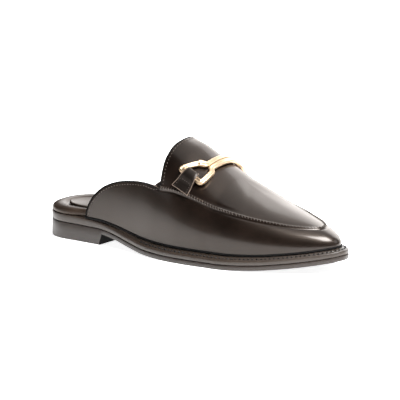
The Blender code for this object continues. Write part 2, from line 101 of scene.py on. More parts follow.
# The upper
WALL = 0.0018
QUARTER_STATION = {-1: 0.172, 1: 0.22}
QUARTER_POWER = {-1: 1.85, 1: 1.5}
SEAM_WIDTH = 0.0034
SEAM_RISE = 0.0009

# %% Tables: one row for each station along the last
LATERAL, MEDIAL = -1, 1

# Half-widths of the feather line behind the pivot, as shares of BALL_WIDTH
OUTLINE = (
    # station, lateral, medial
    (0.00, 0.352, 0.352),
    (0.08, 0.358, 0.356),
    (0.16, 0.364, 0.346),
    (0.26, 0.380, 0.318),
    (0.36, 0.420, 0.300),
    (0.46, 0.472, 0.335),
    (0.55, 0.498, 0.415),
    (0.62, 0.497, 0.474),
    (0.66, 0.484, 0.486),
)

# Height of the outsole's underside: shares of HEEL_LIFT and of TOE_SPRING
UNDERSIDE = (
    # station, heel, toe
    (0.00, 1.00, 0.00),
    (0.12, 0.97, 0.00),
    (0.22, 0.93, 0.00),
    (0.29, 0.71, 0.00),
    (0.36, 0.37, 0.00),
    (0.42, 0.14, 0.00),
    (0.50, 0.02, 0.00),
    (0.56, 0.00, 0.00),
    (0.70, 0.00, 0.00),
    (0.80, 0.00, 0.14),
    (0.90, 0.00, 0.48),
    (1.00, 0.00, 1.00),
    (1.04, 0.00, 1.28),
)

# Cross-sections of the last: the ridge's height as a share of INSTEP_HEIGHT, its lean to the medial
# side and the side's flare as shares of BALL_WIDTH, and how full the side and the top are
SECTIONS = (
    # station, ridge, lean, flare, side, top
    (0.16, 1.06, 0.02, 0.02, 0.50, 0.58),
    (0.30, 1.05, 0.03, 0.03, 0.50, 0.60),
    (0.40, 1.06, 0.04, 0.05, 0.50, 0.64),
    (0.46, 1.00, 0.04, 0.06, 0.50, 0.68),
    (0.51, 0.945, 0.05, 0.07, 0.52, 0.68),
    (0.56, 0.848, 0.06, 0.08, 0.54, 0.66),
    (0.61, 0.747, 0.07, 0.08, 0.56, 0.65),
    (0.66, 0.650, 0.07, 0.08, 0.58, 0.66),
)
TOE_SECTION = {"flare": 0.03, "side": 0.38, "top": 0.45}

# Where the apron seam lies on the way up from the feather line to the ridge
SEAM = (
    # place, level
    (0.0, 0.395),
    (0.5, 0.44),
    (1.0, 0.46),
)
SEAM_TOE_LEVEL = 0.35

# The tongue's edge: stations on the way from the notch beside it up to the ridge
TONGUE_EDGE = (
    # way up, station
    (0.00, 0.468),
    (0.12, 0.464),
    (0.35, 0.459),
    (0.60, 0.461),
    (0.85, 0.468),
    (1.00, 0.470),
)
NOTCH_STATION = TONGUE_EDGE[0][1]

# The heel pad on the insole: inset in metres and height above the insole
PAD_LENGTH = 0.118
PAD_MARGIN = 0.0092
PAD = (
    # inset, height
    (0.0006, 0.0003),
    (0.0000, 0.0008),
    (0.0003, 0.0017),
    (0.0011, 0.0020),
    (0.0019, 0.0016),
    (0.0026, 0.0013),
)

# The bit: a closed ring of bar bent into an arch of two strands with a stirrup at each end
BIT_STATION = 0.59
STRAND_WIDTH = 0.0040
BIT_THICKNESS = 0.0030
STRAND_GAP = 0.0004
ARCH_REACH = 0.0195
STIRRUP_REACH = 0.0336
STIRRUP_INNER = 0.0115
STIRRUP_OUTER = 0.0195
STIRRUP_SKEW = 0.0020
ARCH_RISE = 0.0006

# Where the arch's strands are laid out, as shares of the way from the crest to either end
ARCH_SHARES = (-0.94, -0.72, -0.48, -0.24, 0.0, 0.24, 0.48, 0.72, 0.94)

# A stirrup's bend: half-width from the inner to the outer width, and the way out from the arch
STIRRUP = (
    # widening, out
    (0.00, 0.04),
    (0.12, 0.12),
    (0.55, 0.48),
    (0.95, 0.84),
    (0.99, 0.95),
    (0.84, 1.00),
    (0.40, 1.00),
)

# The tabs
TAB_LAYER = 0.0013
TAB_TOP_WIDTH = 0.0095
TAB_FOOT_WIDTH = 0.0165
TAB_TOP_FORWARD = -0.0030
TAB_FOOT_FORWARD = -0.0008

# A tab's thickness along it: way from the wire in metres, then how high its underside and its
# outside stand, as shares of the fold's full height
FOLD = (
    # way, underside, outside
    (-0.0042, 0.42, 0.64),
    (-0.0038, 0.22, 0.84),
    (-0.0026, 0.15, 0.98),
    (0.0000, 0.15, 1.00),
    (0.0026, 0.15, 0.94),
    (0.0048, 0.15, 0.72),
    (0.0064, 0.15, 0.56),
    (0.0080, 0.15, 0.48),
    (0.0124, 0.15, 0.47),
    (0.0128, 0.19, 0.42),
)

# The insole's wrapped rim: inset in metres and height as a share of the rim's height
RIM = (
    # inset, height
    (0.0012, 0.00),
    (0.0003, 0.12),
    (0.0000, 0.35),
    (0.0003, 0.65),
    (0.0013, 0.88),
    (0.0030, 1.00),
    (0.0052, 0.96),
    (0.0070, 0.72),
)

# %% [markdown]
# ## The last as functions
# A last has no straight lines, so each of its lines is a smooth curve through a short table.
# The upper's skin is a set of cubic curves that rise from the feather line, where the leather
# meets the welt, to the ridge over the instep.

# %% Curves and surfaces of the last
@lru_cache(maxsize=None)
def column(rows, index, where):
    """The value of one column of a table at a place, on a smooth curve that never overshoots."""
    xs = np.array([row[0] for row in rows])
    ys = np.array([row[index] for row in rows])
    steps = np.diff(xs)
    rises = np.diff(ys) / steps
    slopes = np.zeros(len(xs))
    slopes[0], slopes[-1] = rises[0], rises[-1]
    for i in range(1, len(xs) - 1):
        if rises[i - 1] * rises[i] > 0:
            slopes[i] = 2 * rises[i - 1] * rises[i] / (rises[i - 1] + rises[i])
    place = min(max(where, xs[0]), xs[-1])
    i = min(int(np.searchsorted(xs, place, side="right")) - 1, len(steps) - 1)
    t = (place - xs[i]) / steps[i]
    before = (1 + 2 * t) * (1 - t) ** 2 * ys[i] + t * (1 - t) ** 2 * steps[i] * slopes[i]
    after = t * t * (3 - 2 * t) * ys[i + 1] - t * t * (1 - t) * steps[i] * slopes[i + 1]
    return before + after


def underside(x):
    """Height of the outsole's underside above the floor."""
    station = x / LAST_LENGTH
    return HEEL_LIFT * column(UNDERSIDE, 1, station) + TOE_SPRING * column(UNDERSIDE, 2, station)


def outsole_top(x):
    return underside(x) + OUTSOLE_THICKNESS


def welt_bottom(x):
    return outsole_top(x) + FIT


def welt_top(x):
    return welt_bottom(x) + WELT_THICKNESS


def rim_height(x):
    """The insole's rim stands high round the heel and dies away under the tongue."""
    fall = min(max((x / LAST_LENGTH - 0.30) / 0.25, 0.0), 1.0)
    return RIM_HEIGHT + (INSOLE_THICKNESS - RIM_HEIGHT) * fall * fall * (3 - 2 * fall)


def insole_top(x):
    return feather_height(x) + RIM[-1][1] * rim_height(x)


def feather_height(x):
    """Where the upper's lower edge and the insole sit, just clear of the welt."""
    return welt_top(x) + FIT


def half_width(side, x):
    """The feather line's distance from the axis behind the pivot, before the heel's round end."""
    return BALL_WIDTH * column(OUTLINE, 1 if side == LATERAL else 2, x / LAST_LENGTH)


def plan_rear(side, x, offset):
    """A point of the outline behind the pivot, moved out by offset."""
    width = half_width(side, x)
    cap = 1.0
    if x < HEEL_CAP_LENGTH:
        cap = (1 - (1 - x / HEEL_CAP_LENGTH) ** HEEL_CAP_POWER) ** (1 / HEEL_CAP_POWER)
    share = x / LAST_LENGTH
    return x - offset * (1 - share) ** 6, side * cap * (width + offset)


def plan_toe(side, angle, offset):
    """A point of the outline ahead of the pivot: angle is 90 degrees at the pivot, 0 at the toe."""
    pivot = PIVOT_STATION * LAST_LENGTH
    reach = LAST_LENGTH - pivot
    ahead = reach * max(math.cos(angle), 0.0)
    across = math.sin(angle) * (1 - TOE_TAPER[side] * math.cos(angle) ** 2)
    width = half_width(side, pivot)
    swing = TOE_SWING * (ahead / reach) ** 2
    bow = (ahead / reach) ** 3
    return pivot + ahead + offset * bow, side * across * (width + offset) + swing


def rim_spread(side, x):
    """How far the insole's rim widens over the welt at the open heel, behind the quarter."""
    end = QUARTER_STATION[side] * LAST_LENGTH - QUARTER_CLEARANCE
    fade = min(max((end - x) / HEEL_RIM_FADE, 0.0), 1.0)
    return HEEL_RIM_SPREAD * fade * fade * (3 - 2 * fade)


def ridge_height(x):
    return feather_height(x) + INSTEP_HEIGHT * column(SECTIONS, 1, x / LAST_LENGTH)


def profile(foot, crown, slope, flare, side_fullness, top_fullness, level):
    """A point on the way from the feather line, foot, up to the ridge, crown. The way is a cubic
    curve that leaves the welt upright and arrives at the crown with the ridge's own slope."""
    foot, crown = np.array(foot), np.array(crown)
    run = foot[:2] - crown[:2]
    reach = float(np.hypot(*run))
    out = run / max(reach, 1e-9)
    drop = slope * out[0]
    radii = (reach, reach + flare, top_fullness * reach, 0.0)
    heights = (
        foot[2],
        foot[2] + side_fullness * (crown[2] - foot[2]),
        crown[2] + drop * top_fullness * reach,
        crown[2],
    )
    t = level
    weights = ((1 - t) ** 3, 3 * t * (1 - t) ** 2, 3 * t * t * (1 - t), t**3)
    radius = sum(w * r for w, r in zip(weights, radii))
    height = sum(w * h for w, h in zip(weights, heights))
    plan = crown[:2] + out * radius
    return np.array((plan[0], plan[1], height))


def body_point(side, x, level, offset):
    """A point of the last's surface behind the pivot, moved out at its foot by offset."""
    station = x / LAST_LENGTH
    _, lean, flare, side_fullness, top_fullness = (column(SECTIONS, i, station) for i in range(1, 6))
    foot = (x, side * (half_width(side, x) + offset), feather_height(x))
    crown = (x, lean * BALL_WIDTH, ridge_height(x))
    return profile(foot, crown, 0.0, flare * BALL_WIDTH, side_fullness, top_fullness, level)


def toe_point(side, angle, level, offset):
    """A point of the last's surface ahead of the pivot."""
    pivot = PIVOT_STATION * LAST_LENGTH
    _, lean, flare, side_fullness, top_fullness = (
        column(SECTIONS, i, PIVOT_STATION) for i in range(1, 6)
    )
    x, y = plan_toe(side, angle, offset)
    ahead = math.cos(angle) ** 2
    flare += (TOE_SECTION["flare"] - flare) * ahead
    side_fullness += (TOE_SECTION["side"] - side_fullness) * ahead
    top_fullness += (TOE_SECTION["top"] - top_fullness) * ahead
    step = 0.004
    slope = (ridge_height(pivot) - ridge_height(pivot - step)) / step
    foot = (x, y, feather_height(x))
    crown = (pivot, lean * BALL_WIDTH, ridge_height(pivot))
    return profile(foot, crown, slope, flare * BALL_WIDTH, side_fullness, top_fullness, level)


def seam_level(place):
    """Level of the apron seam at a place: 0 at the notch, 1 at the pivot, 2 at the toe."""
    side_level = column(SEAM, 1, min(place, 1.0))
    if place <= 1.0:
        return side_level
    turn = math.sin(math.radians(90 * (place - 1))) ** 2
    return side_level + (SEAM_TOE_LEVEL - side_level) * turn


# %% [markdown]
# ## Building meshes
# Most pieces here are rings or rows of points joined into faces. One helper makes the mesh,
# another hangs it in the shoe's own place: the last's x starts at the back of the heel, the
# part's x under the middle of the heel.

# %% Mesh helpers
HEEL_TO_ORIGIN = np.array((-HEEL_LENGTH / 2, 0.0, 0.0))


def make_mesh(name, points, faces, material, smooth_angle=40):
    """A mesh object on the part's body, with doubled points joined and faces turned outwards."""
    shape = bmesh.new()
    made = [shape.verts.new(Vector(np.array(p) + HEEL_TO_ORIGIN)) for p in points]
    for face in faces:
        corners = []
        for index in face:
            if made[index] not in corners:
                corners.append(made[index])
        if len(corners) > 2:
            shape.faces.new(corners)
    bmesh.ops.remove_doubles(shape, verts=shape.verts, dist=1e-6)
    bmesh.ops.recalc_face_normals(shape, faces=shape.faces)
    mesh = bpy.data.meshes.new(name)
    shape.to_mesh(mesh)
    shape.free()
    mesh.materials.append(material)
    mesh.shade_smooth()
    mesh.set_sharp_from_angle(angle=math.radians(smooth_angle))
    piece = bpy.data.objects.new(name, mesh)
    bpy.context.scene.collection.objects.link(piece)
    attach(piece, "root")
    return piece


def grid_faces(rows, columns, closed=False):
    """Quads between neighbouring rows of points; closed joins each row's end to its start."""
    faces = []
    for r in range(rows - 1):
        for c in range(columns if closed else columns - 1):
            a, b = r * columns + c, r * columns + (c + 1) % columns
            faces.append((a, b, b + columns, a + columns))
    return faces


# %% [markdown]
# ## Materials
# Each one starts from what the real surface is. A small function adds a node with its settings
# and links, and one turns a colour from a swatch's hex value to the linear numbers that the
# shader needs.

# %% Node and colour helpers
MM = 0.001


def linear(hex_colour):
    """Turns an sRGB hex colour into linear red, green, blue and alpha."""
    parts = [int(hex_colour[i : i + 2], 16) / 255 for i in (1, 3, 5)]
    return tuple(p / 12.92 if p <= 0.04045 else ((p + 0.055) / 1.055) ** 2.4 for p in parts) + (1.0,)


def add_node(tree, kind, settings=None, inputs=None):
    """Adds a node. An input is a number or colour, or the output socket that feeds it."""
    node = tree.nodes.new(kind)
    for key, value in (settings or {}).items():
        setattr(node, key, value)
    for key, value in (inputs or {}).items():
        if isinstance(value, bpy.types.NodeSocket):
            tree.links.new(value, node.inputs[key])
        else:
            node.inputs[key].default_value = value
    return node


def new_material(name):
    material = bpy.data.materials.new(name)
    material.use_nodes = True
    tree = material.node_tree
    shader = tree.nodes["Principled BSDF"]
    place = add_node(tree, "ShaderNodeTexCoord").outputs["Object"]
    return material, tree, shader, place


def mixed(tree, factor, dark, light):
    """A colour between two hex colours by a factor."""
    ramp = add_node(tree, "ShaderNodeValToRGB", inputs={"Fac": factor})
    ramp.color_ramp.elements[0].color = linear(dark)
    ramp.color_ramp.elements[1].color = linear(light)
    return ramp


# %% [markdown]
# ### Polished calf leather
# The upper is full-grain calf, dyed near-black over brown and polished. Light that strikes it
# at a glance comes back pale and clear, and straight on it shows a soft brown-black. A thin
# coat stands for the polish; fine pores every 0.4 mm and a slow unevenness break the gloss.

# %% Leather materials
PORE_SPACING = 0.45 * MM
CLOUD_SIZE = 28 * MM


def leather(name, dark, light, roughness, coat, pore_depth, coat_roughness=0.22):
    material, tree, shader, place = new_material(name)
    clouds = add_node(
        tree, "ShaderNodeTexNoise", inputs={"Vector": place, "Scale": 1 / CLOUD_SIZE, "Detail": 3.0}
    )
    ramp = mixed(tree, clouds.outputs["Fac"], dark, light)
    ramp.color_ramp.elements[0].position = 0.35
    ramp.color_ramp.elements[1].position = 0.68
    tree.links.new(ramp.outputs["Color"], shader.inputs["Base Color"])
    wear = add_node(
        tree,
        "ShaderNodeMapRange",
        inputs={
            "Value": clouds.outputs["Fac"],
            "From Min": 0.3,
            "From Max": 0.7,
            "To Min": roughness - 0.05,
            "To Max": roughness + 0.06,
        },
    )
    tree.links.new(wear.outputs["Result"], shader.inputs["Roughness"])
    pores = add_node(
        tree, "ShaderNodeTexVoronoi", inputs={"Vector": place, "Scale": 1 / PORE_SPACING}
    )
    ripple = add_node(
        tree,
        "ShaderNodeTexNoise",
        inputs={"Vector": place, "Scale": 1 / (2.2 * MM), "Detail": 4.0, "Roughness": 0.6},
    )
    height = add_node(
        tree,
        "ShaderNodeMath",
        {"operation": "MULTIPLY_ADD"},
        {0: ripple.outputs["Fac"], 1: 1.5, 2: pores.outputs["Distance"]},
    )
    bump = add_node(
        tree,
        "ShaderNodeBump",
        inputs={"Height": height.outputs["Value"], "Strength": pore_depth, "Distance": 0.05 * MM},
    )
    tree.links.new(bump.outputs["Normal"], shader.inputs["Normal"])
    shader.inputs["IOR"].default_value = 1.5
    shader.inputs["Specular IOR Level"].default_value = 0.36
    shader.inputs["Specular Tint"].default_value = linear("#fff0e4")
    shader.inputs["Coat Tint"].default_value = linear("#fbe9da")
    shader.inputs["Coat Weight"].default_value = coat
    shader.inputs["Coat Roughness"].default_value = coat_roughness
    return material


calf = leather("calf_leather_polished", "#0d0705", "#160e0a", 0.36, 0.5, 0.24, 0.17)
calf_edge = leather("calf_leather_cut_edge", "#2a231e", "#3d342d", 0.5, 0.1, 0.5)
tab_leather = leather("calf_leather_folded_tab", "#0c0908", "#161210", 0.42, 0.25, 0.45)
# Pale brown-grey for edge beads: painted highlight of the light that rolled and bevelled edges catch.
pale_edge_painted_highlight = leather("pale_cut_edge_painted_highlight", "#6a5c50", "#85766a", 0.55, 0.1, 0.4)
lining = leather("pigskin_lining", "#2b231e", "#3a302a", 0.62, 0.0, 0.5)
sock_leather = leather("sheepskin_sock", "#29201a", "#382d26", 0.45, 0.2, 0.5)

# %% [markdown]
# ### Sole leatherboard, rubber, ink, thread and gold
# The sole's edge is trimmed, inked and waxed: a satin near-black with faint trimming lines along
# it. The tread is moulded rubber, matt and almost black; the heel's breast gets the same near-black
# as painted shade. Cut leather edges are inked, which leaves the same matt black, and that black
# also paints the shade between upper and welt. The welt's thread is waxed polyester, coloured
# near-black as painted shade of the slots it lies in. The upper's thread is bonded nylon, a taupe a
# little lighter than the leather, so that its stitches show. The bit is brass with a polished light
# gold plating.


# %% Sole, thread and metal materials
def waxed_edge(name, dark, light):
    material, tree, shader, place = new_material(name)
    stretched = add_node(
        tree, "ShaderNodeMapping", inputs={"Vector": place, "Scale": (0.08, 0.08, 1.0)}
    )
    lines = add_node(
        tree,
        "ShaderNodeTexNoise",
        inputs={"Vector": stretched.outputs["Vector"], "Scale": 1 / (0.7 * MM), "Detail": 3.0},
    )
    ramp = mixed(tree, lines.outputs["Fac"], dark, light)
    tree.links.new(ramp.outputs["Color"], shader.inputs["Base Color"])
    bump = add_node(
        tree,
        "ShaderNodeBump",
        inputs={"Height": lines.outputs["Fac"], "Strength": 0.35, "Distance": 0.08 * MM},
    )
    tree.links.new(bump.outputs["Normal"], shader.inputs["Normal"])
    shader.inputs["Roughness"].default_value = 0.42
    shader.inputs["Coat Weight"].default_value = 0.25
    shader.inputs["Coat Roughness"].default_value = 0.3
    return material


sole_edge = waxed_edge("leatherboard_waxed_edge", "#2a221d", "#3a302a")
welt_edge = waxed_edge("welt_waxed_edge", "#2e251f", "#43382f")


def thread_material(name, dark, light):
    material, tree, shader, place = new_material(name)
    twist = add_node(
        tree, "ShaderNodeTexWave", inputs={"Vector": place, "Scale": 1 / (3.0 * MM), "Distortion": 2.0}
    )
    ramp = mixed(tree, twist.outputs["Fac"], dark, light)
    tree.links.new(ramp.outputs["Color"], shader.inputs["Base Color"])
    shader.inputs["Roughness"].default_value = 0.6
    return material


def gold_plate():
    material, tree, shader, place = new_material("brass_gold_plated_polished")
    haze = add_node(tree, "ShaderNodeTexNoise", inputs={"Vector": place, "Scale": 1 / (4 * MM)})
    ramp = mixed(tree, haze.outputs["Fac"], "#d3b491", "#e0c8a8")
    tree.links.new(ramp.outputs["Color"], shader.inputs["Base Color"])
    rough = add_node(
        tree,
        "ShaderNodeMapRange",
        inputs={"Value": haze.outputs["Fac"], "To Min": 0.26, "To Max": 0.38},
    )
    tree.links.new(rough.outputs["Result"], shader.inputs["Roughness"])
    shader.inputs["Metallic"].default_value = 1.0
    return material


def matt_black(name):
    material, tree, shader, place = new_material(name)
    grain = add_node(tree, "ShaderNodeTexNoise", inputs={"Vector": place, "Scale": 1 / (0.9 * MM)})
    ramp = mixed(tree, grain.outputs["Fac"], "#050404", "#0b0908")
    tree.links.new(ramp.outputs["Color"], shader.inputs["Base Color"])
    bump = add_node(
        tree,
        "ShaderNodeBump",
        inputs={"Height": grain.outputs["Fac"], "Strength": 0.4, "Distance": 0.1 * MM},
    )
    tree.links.new(bump.outputs["Normal"], shader.inputs["Normal"])
    shader.inputs["Roughness"].default_value = 0.8
    shader.inputs["IOR"].default_value = 1.3
    return material


# Near-black rubber for the tread, also laid on the heel's breast as painted shade.
tread_rubber_and_breast_shade = matt_black("black_rubber_and_painted_breast_shade")
# The same matt black also paints the shade between upper and welt, as a cord.
ink_and_painted_shade = matt_black("inked_edge_and_painted_shade_black")
# Near-black, so that the welt's stitches also paint the shade of the slots they lie in.
thread = thread_material("welt_thread_near_black_painted_shade", "#070505", "#120e0c")
grey_thread = thread_material("bonded_nylon_thread_taupe", "#443b35", "#574d45")
gold = gold_plate()

# %% [markdown]
# ## The sole: outsole and heel in one moulding
# On the real shoe no joint shows between the low heel and the sole layer, because both are
# trimmed and inked together. So one piece stands for both: a plate whose underside drops to the
# floor behind the breast of the heel. Two stations a hair apart make the upright breast.

# %% Plates from rings
RING_STEPS = 40
TOE_STEPS = 44


def fine_stations():
    """Stations from the heel's back to the pivot, close together where the outline is round."""
    rear = [HEEL_CAP_LENGTH * (1 - math.cos(math.radians(a))) for a in range(3, 88, 5)]
    pivot = PIVOT_STATION * LAST_LENGTH
    rear += list(np.linspace(HEEL_CAP_LENGTH, HEEL_LENGTH - 1e-5, 10))
    rear += list(np.linspace(HEEL_LENGTH + 1e-5, pivot, RING_STEPS)[:-1])
    return rear


def margin_at(x, rear_margin, fore_margin):
    """The sole's margin grows smoothly from the heel to the forepart at the waist."""
    blend = min(max((x / LAST_LENGTH - 0.22) / 0.26, 0.0), 1.0)
    return rear_margin + (fore_margin - rear_margin) * blend * blend * (3 - 2 * blend)


def fine_ring(rear_margin, fore_margin, spread=0.0):
    """The sole's outline at close stations, moved out by a margin; spread widens the open heel."""

    sides = {}
    for side in (LATERAL, MEDIAL):
        points = []
        for x in fine_stations():
            margin = margin_at(x, rear_margin, fore_margin) + spread * rim_spread(side, x)
            points.append(plan_rear(side, x, margin))
        for i in range(TOE_STEPS):
            points.append(plan_toe(side, math.radians(90 * (1 - i / TOE_STEPS)), fore_margin))
        sides[side] = points
    heel_point = (-rear_margin - spread * rim_spread(LATERAL, 0.0), 0.0)
    toe_tip = plan_toe(LATERAL, 0.0, fore_margin)
    return [heel_point] + sides[LATERAL] + [toe_tip] + sides[MEDIAL][::-1]


def stacked_faces(count, size):
    """Faces of rings that lie on each other, closed by strips across the first and the last."""
    faces = grid_faces(count, size, closed=True)
    for base in (0, (count - 1) * size):
        for k in range(size // 2):
            strip = [k, k + 1, (size - k - 1) % size, (size - k) % size]
            faces.append(tuple(base + s for s in strip))
    return faces


def plate(name, loops, material, smooth_angle=40):
    """A sole layer from loops: margins at the rear and fore, a height function, and the share
    of the rim's spread where the loop has one."""
    points = []
    for rear_margin, fore_margin, height, *spread in loops:
        points += [(x, y, height(x)) for x, y in fine_ring(rear_margin, fore_margin, *spread)]
    faces = stacked_faces(len(loops), len(points) // len(loops))
    return make_mesh(name, points, faces, material, smooth_angle)


# %% The sole moulding
def tread(x):
    """The underside: the heel's flat bottom, then the arch, the tread and the toe spring."""
    return 0.0 if x < HEEL_LENGTH else underside(x)


rear, fore = WELT_MARGIN_REAR, WELT_MARGIN_FORE
edge = 0.6 * MM
sole = plate(
    "outsole_and_heel",
    [
        (rear - 2 * edge, fore - 2 * edge, tread),
        (rear - 1.2 * edge, fore - 1.2 * edge, lambda x: tread(x) + 0.05 * MM),
        (rear - 0.35 * edge, fore - 0.35 * edge, lambda x: tread(x) + 0.35 * edge),
        (rear, fore, lambda x: tread(x) + 1.3 * edge),
        (rear, fore, lambda x: outsole_top(x) - edge),
        (rear - 0.35 * edge, fore - 0.35 * edge, lambda x: outsole_top(x) - 0.3 * edge),
        (rear - 1.3 * edge, fore - 1.3 * edge, outsole_top),
    ],
    sole_edge,
)
# The faces that look down are the rubber tread. The heel's upright breast, which stands in shade, gets
# the same near-black as painted shade.
BREAST_ZONE = (0.02, 0.04)
UPRIGHT, FACES_DOWN = 0.8, -0.6
sole.data.materials.append(tread_rubber_and_breast_shade)
for face in sole.data.polygons:
    near_breast = BREAST_ZONE[0] < face.center.x < BREAST_ZONE[1]
    if face.normal.z < FACES_DOWN or near_breast and abs(face.normal.x) > UPRIGHT:
        face.material_index = 1
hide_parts("outsole", "heel")
print("sole:", len(sole.data.vertices), "points")

# %% [markdown]
# ## The welt
# A strip of leather runs round the whole shoe between upper and outsole. Its edge is rounded. From
# the waist forward its top slopes down to the edge, so that the top shows from the side, and a
# shallow channel in it holds the stitches. A dark line parts it from the outsole, which here is a
# real gap between two rounded edges.

# %% The welt
WELT_FALL = 2.7 * MM
WELT_STITCH_INSET = 2.7 * MM
CHANNEL_DEPTH = 0.35 * MM
CHANNEL_START = 0.33
CHANNEL_LEAD = 0.02
FALL_START = 0.12
FALL_LEAD = 0.22
FALL_POWER = 1.3


def ahead_of(x, start, length):
    """Rises smoothly from 0 to 1 over a length of the shoe, given in shares of the last."""
    share = min(max((x / LAST_LENGTH - start) / length, 0.0), 1.0)
    return share * share * (3 - 2 * share)


def welt_slope(inward, channel=0.0):
    """The height of the welt's top at a distance in from its edge: it slopes down to the edge."""

    def height(x):
        reach = margin_at(x, rear, fore)
        share = min(max(inward / max(reach, 1e-6), 0.0), 1.0)
        fall = WELT_FALL * ahead_of(x, FALL_START, FALL_LEAD) * (1 - share) ** FALL_POWER
        return welt_top(x) - fall - channel * CHANNEL_DEPTH * ahead_of(x, CHANNEL_START, CHANNEL_LEAD)

    return height


def welt_loop(inward, channel=0.0):
    """A loop of the welt's top, a distance in from its edge."""
    return (rear - min(inward, 0.7 * rear), fore - inward, welt_slope(inward, channel))


CHANNEL_ROWS = (
    # way across in mm, share of the depth
    (-0.75, 0.0),
    (-0.45, 0.8),
    (0.0, 1.0),
    (0.45, 0.8),
    (0.75, 0.0),
)
welt = plate(
    "welt_strip",
    [
        (rear - 1.6 * edge, fore - 1.6 * edge, welt_bottom),
        (rear - 0.4 * edge, fore - 0.4 * edge, lambda x: welt_bottom(x) + 0.3 * edge),
        (rear, fore, lambda x: welt_bottom(x) + 1.0 * edge),
        (rear, fore, lambda x: welt_slope(0.0)(x) - 1.0 * edge),
        (rear - 0.3 * edge, fore - 0.3 * edge, lambda x: welt_slope(0.0)(x) - 0.35 * edge),
        welt_loop(1.1 * edge),
        welt_loop(1.6 * MM),
    ]
    + [welt_loop(WELT_STITCH_INSET + aside * MM, deep) for aside, deep in CHANNEL_ROWS]
    + [
        welt_loop(5.0 * MM),
        (WALL, WALL, welt_top),
        (-6 * MM, -6 * MM, welt_top),
    ],
    welt_edge,
)
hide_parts("welt")
print("welt:", len(welt.data.vertices), "points")

# %% [markdown]
# ## The insole and its sock
# At the open back the insole shows: a board wrapped in thin leather with a soft round rim, and a
# padded heel sock sunk inside the rim with a fine raised edge.

# %% Insole and sock
RIM_STEPS = 24
RIM_ROLL = ((0.0004, 0.00), (0.0001, 0.10)) + RIM[2:]


def insole_loops():
    """Loops up the rim, which starts almost flush with the welt's edge and rolls inwards."""
    rows = tuple((float(i), *row) for i, row in enumerate(RIM_ROLL))
    loops = []
    for k in range(RIM_STEPS + 1):
        share = k / RIM_STEPS * (len(RIM_ROLL) - 1)
        inset, rise = column(rows, 1, share), column(rows, 2, share)
        height = lambda x, rise=rise: feather_height(x) + rise * rim_height(x)
        spread = 1 - inset / RIM[-1][0]
        loops.append((-INSOLE_MARGIN - inset, -INSOLE_FORE_MARGIN - inset, height, spread))
    return loops


insole = plate("insole_wrapped", insole_loops(), sock_leather)
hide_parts("insole")


def pad_ring(margin):
    """The heel sock's outline: the heel's round back and a round front under the tongue."""
    rear_part = [HEEL_CAP_LENGTH * (1 - math.cos(math.radians(a))) for a in range(6, 88, 6)]
    body = list(np.linspace(HEEL_CAP_LENGTH, PAD_LENGTH - 0.02, 20))
    sides = {}
    for side in (LATERAL, MEDIAL):
        points = [plan_rear(side, x, -margin) for x in rear_part + body[:-1]]
        _, y_turn = plan_rear(side, body[-1], -margin)
        reach = PAD_LENGTH - margin - body[-1]
        for angle in range(0, 90, 6):
            turn = math.radians(angle)
            points.append((body[-1] + reach * math.sin(turn), y_turn * math.cos(turn)))
        sides[side] = points
    return [(margin, 0.0)] + sides[LATERAL] + [(PAD_LENGTH - margin, 0.0)] + sides[MEDIAL][::-1]


def heel_sock():
    points = []
    for inset, rise in PAD:
        points += [(x, y, insole_top(x) + rise) for x, y in pad_ring(PAD_MARGIN + inset)]
    faces = stacked_faces(len(PAD), len(points) // len(PAD))
    return make_mesh("heel_sock", points, faces, sock_leather)


sock = heel_sock()
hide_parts("sock_pad")

# %% [markdown]
# ## The upper
# The leather is pulled over the last and dries to its shape, so the skin is a fine grid over the
# last's own functions. It is thickened inwards by the wall. The apron seam is a pinched ridge,
# and the creases from walking are soft troughs across the vamp, at listed places.

# %% Creases across the vamp
CREASES = (
    # station, side share, depth in mm, width in mm, length in mm, slant
    (0.735, -0.35, 0.25, 3.5, 30.0, 0.55),
    (0.770, -0.20, -0.16, 4.0, 26.0, 0.55),
)


def crease_depth(point):
    """How far the leather sinks at a point of the upper, in metres."""
    depth = 0.0
    for station, across, deep, width, length, slant in CREASES:
        along = (point[0] - station * LAST_LENGTH) / MM
        aside = (point[1] - across * BALL_WIDTH / 2) / MM
        off = along + slant * aside
        run = aside / (0.5 * length)
        depth += deep * math.exp(-((off / width) ** 2)) * math.exp(-(run**4))
    return depth * MM


# %% The upper's grid
STITCH_ASIDE = 2.5 * MM
STITCH_GROOVE_WIDTH = 0.6 * MM
STITCH_GROOVE_DEPTH = 0.30 * MM
BODY_STEPS = 46
TOE_TURN_STEPS = 36
WALL_ROWS = 34
PLUG_ROWS = 30
BAND_SHARES = (-1.0, -0.86, -0.66, -0.42, -0.16, 0.0, 0.16, 0.42, 0.66, 0.86, 1.0)


def back_edge(part, side, share):
    """Where a row starts: on the quarter's dome, at the notch, or on the tongue's edge."""
    notch = NOTCH_STATION * LAST_LENGTH
    if part == "wall":
        quarter = QUARTER_STATION[side] * LAST_LENGTH
        power = QUARTER_POWER[side]
        curve = 1 - (1 - share**power) ** (1 / power)
        return quarter + (notch - quarter) * curve
    if part == "plug":
        return LAST_LENGTH * column(TONGUE_EDGE, 1, share)
    return notch


def band_level(part, share, place, speed):
    seam = seam_level(place)
    band = 0.5 * SEAM_WIDTH / speed
    if part == "wall":
        return share * (seam - band)
    if part == "plug":
        return seam + band + share * (1 - seam - band)
    return seam + share * band


